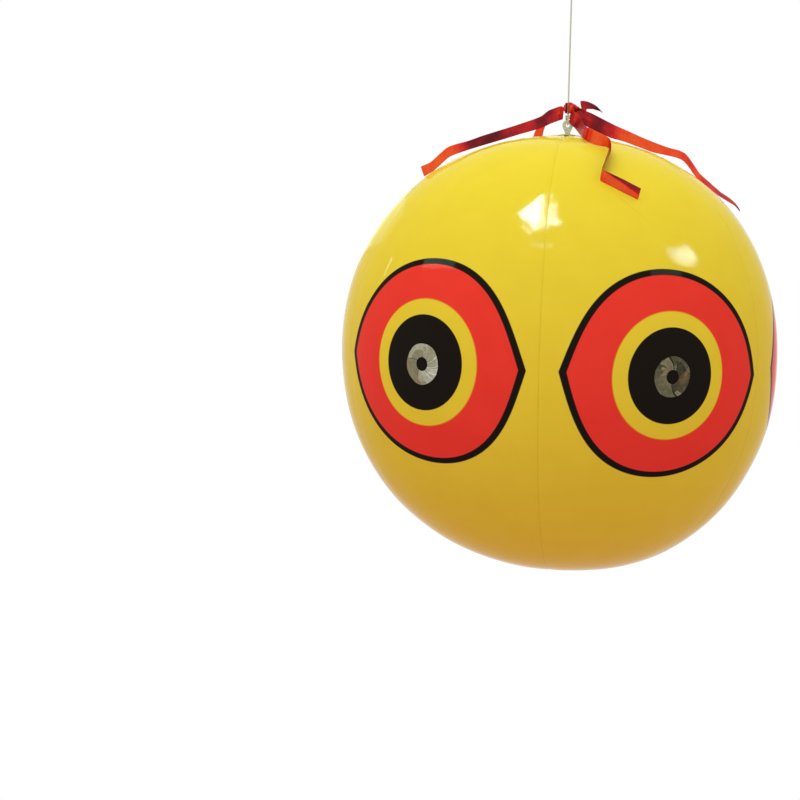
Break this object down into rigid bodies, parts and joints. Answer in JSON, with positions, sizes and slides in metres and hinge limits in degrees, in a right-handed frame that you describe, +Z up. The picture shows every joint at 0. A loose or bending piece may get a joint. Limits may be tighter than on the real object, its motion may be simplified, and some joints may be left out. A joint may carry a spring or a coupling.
{
  "type": "bird scare balloon",
  "caption": "Inflatable round film balloon with printed eyes, reflective stickers and strips, hung on twine to frighten birds from fruit and crops.",
  "frame": {"origin": "the point inside the top of the hanging loop that bears on the hook or branch", "axes": "+Z straight up along the twine, -Y the side that the picture shows, +X to its right"},
  "size_m": [0.4008, 0.3994, 0.5692],
  "materials": {
    "film": "glossy printed film",
    "patch_film": "glossy film",
    "clear_pvc": "clear soft plastic",
    "foil": "crinkled reflective foil",
    "strip_film": "metallised film",
    "twine": "twisted twine"
  },
  "bodies": {
    "hanging_loop": {"hanging_loop": "twine"},
    "loop_knot": {"loop_knot": "twine"},
    "cord_run": {"cord_run": "twine"},
    "balloon": {"gore_1": "film", "gore_2": "film", "gore_3": "film", "gore_4": "film", "gore_5": "film", "gore_6": "film", "eye_sticker_1": "foil", "eye_sticker_2": "foil", "eye_sticker_3": "foil", "eye_sticker_4": "foil", "eye_sticker_5": "foil", "eye_sticker_6": "foil", "top_patch": "patch_film", "bottom_patch": "patch_film", "hang_tab": "clear_pvc", "tab_hitch": "twine", "strip_bundle": "strip_film", "strip_curled_end": "strip_film", "valve_base": "clear_pvc"},
    "strip_long_left": {"strip_long_left": "strip_film"},
    "strip_short_left": {"strip_short_left": "strip_film"},
    "strip_long_right": {"strip_long_right": "strip_film"},
    "strip_back_right": {"strip_back_right": "strip_film"},
    "strip_front_fold": {"strip_front_fold": "strip_film"},
    "valve_stem": {"valve_stem": "clear_pvc", "plug_strap": "clear_pvc"},
    "valve_plug": {"valve_plug": "clear_pvc"},
    "valve_flap": {"valve_flap": "clear_pvc"}
  },
  "joints": [
    {"name": "swing_fore_aft", "type": "hinge", "parent": "hanging_loop", "child": "loop_knot", "pos_m": [0, 0, -0.033], "axis": [1, 0, 0], "range_deg": [-45, 45]},
    {"name": "swing_sideways", "type": "hinge", "parent": "loop_knot", "child": "cord_run", "pos_m": [0, 0, -0.033], "axis": [0, 1, 0], "range_deg": [-45, 45]},
    {"name": "ball_spin", "type": "hinge", "parent": "cord_run", "child": "balloon", "pos_m": [0, 0, -0.1395], "axis": [0, 0, 1], "continuous": true},
    {"name": "lift_long_left", "type": "hinge", "parent": "balloon", "child": "strip_long_left", "pos_m": [-0.00446, -0.00136, -0.13988], "axis": [-0.2924, 0.9563, 0], "range_deg": [0, 50]},
    {"name": "lift_short_left", "type": "hinge", "parent": "balloon", "child": "strip_short_left", "pos_m": [-0.00452, 0.00261, -0.13991], "axis": [0.5, 0.866, 0], "range_deg": [0, 50]},
    {"name": "lift_long_right", "type": "hinge", "parent": "balloon", "child": "strip_long_right", "pos_m": [0.00968, -0.00241, -0.14022], "axis": [-0.2419, -0.9703, 0], "range_deg": [0, 50]},
    {"name": "lift_back_right", "type": "hinge", "parent": "balloon", "child": "strip_back_right", "pos_m": [0.00372, 0.00372, -0.13991], "axis": [0.7071, -0.7071, 0], "range_deg": [0, 50]},
    {"name": "lift_front_fold", "type": "hinge", "parent": "balloon", "child": "strip_front_fold", "pos_m": [0.00247, -0.00554, -0.13995], "axis": [-0.9135, -0.4067, 0], "range_deg": [0, 50]},
    {"name": "valve_slide", "type": "slide", "parent": "balloon", "child": "valve_stem", "axis": [0, 0, -1], "range_m": [0, 0.0095]},
    {"name": "plug_pull", "type": "slide", "parent": "valve_stem", "child": "valve_plug", "axis": [0, 0, -1], "range_m": [0, 0.008], "deforming": ["plug_strap"]},
    {"name": "flap_open", "type": "hinge", "parent": "valve_stem", "child": "valve_flap", "pos_m": [-0.0046, 0, -0.54675], "axis": [0, -1, 0], "range_deg": [0, 60]}
  ]
}
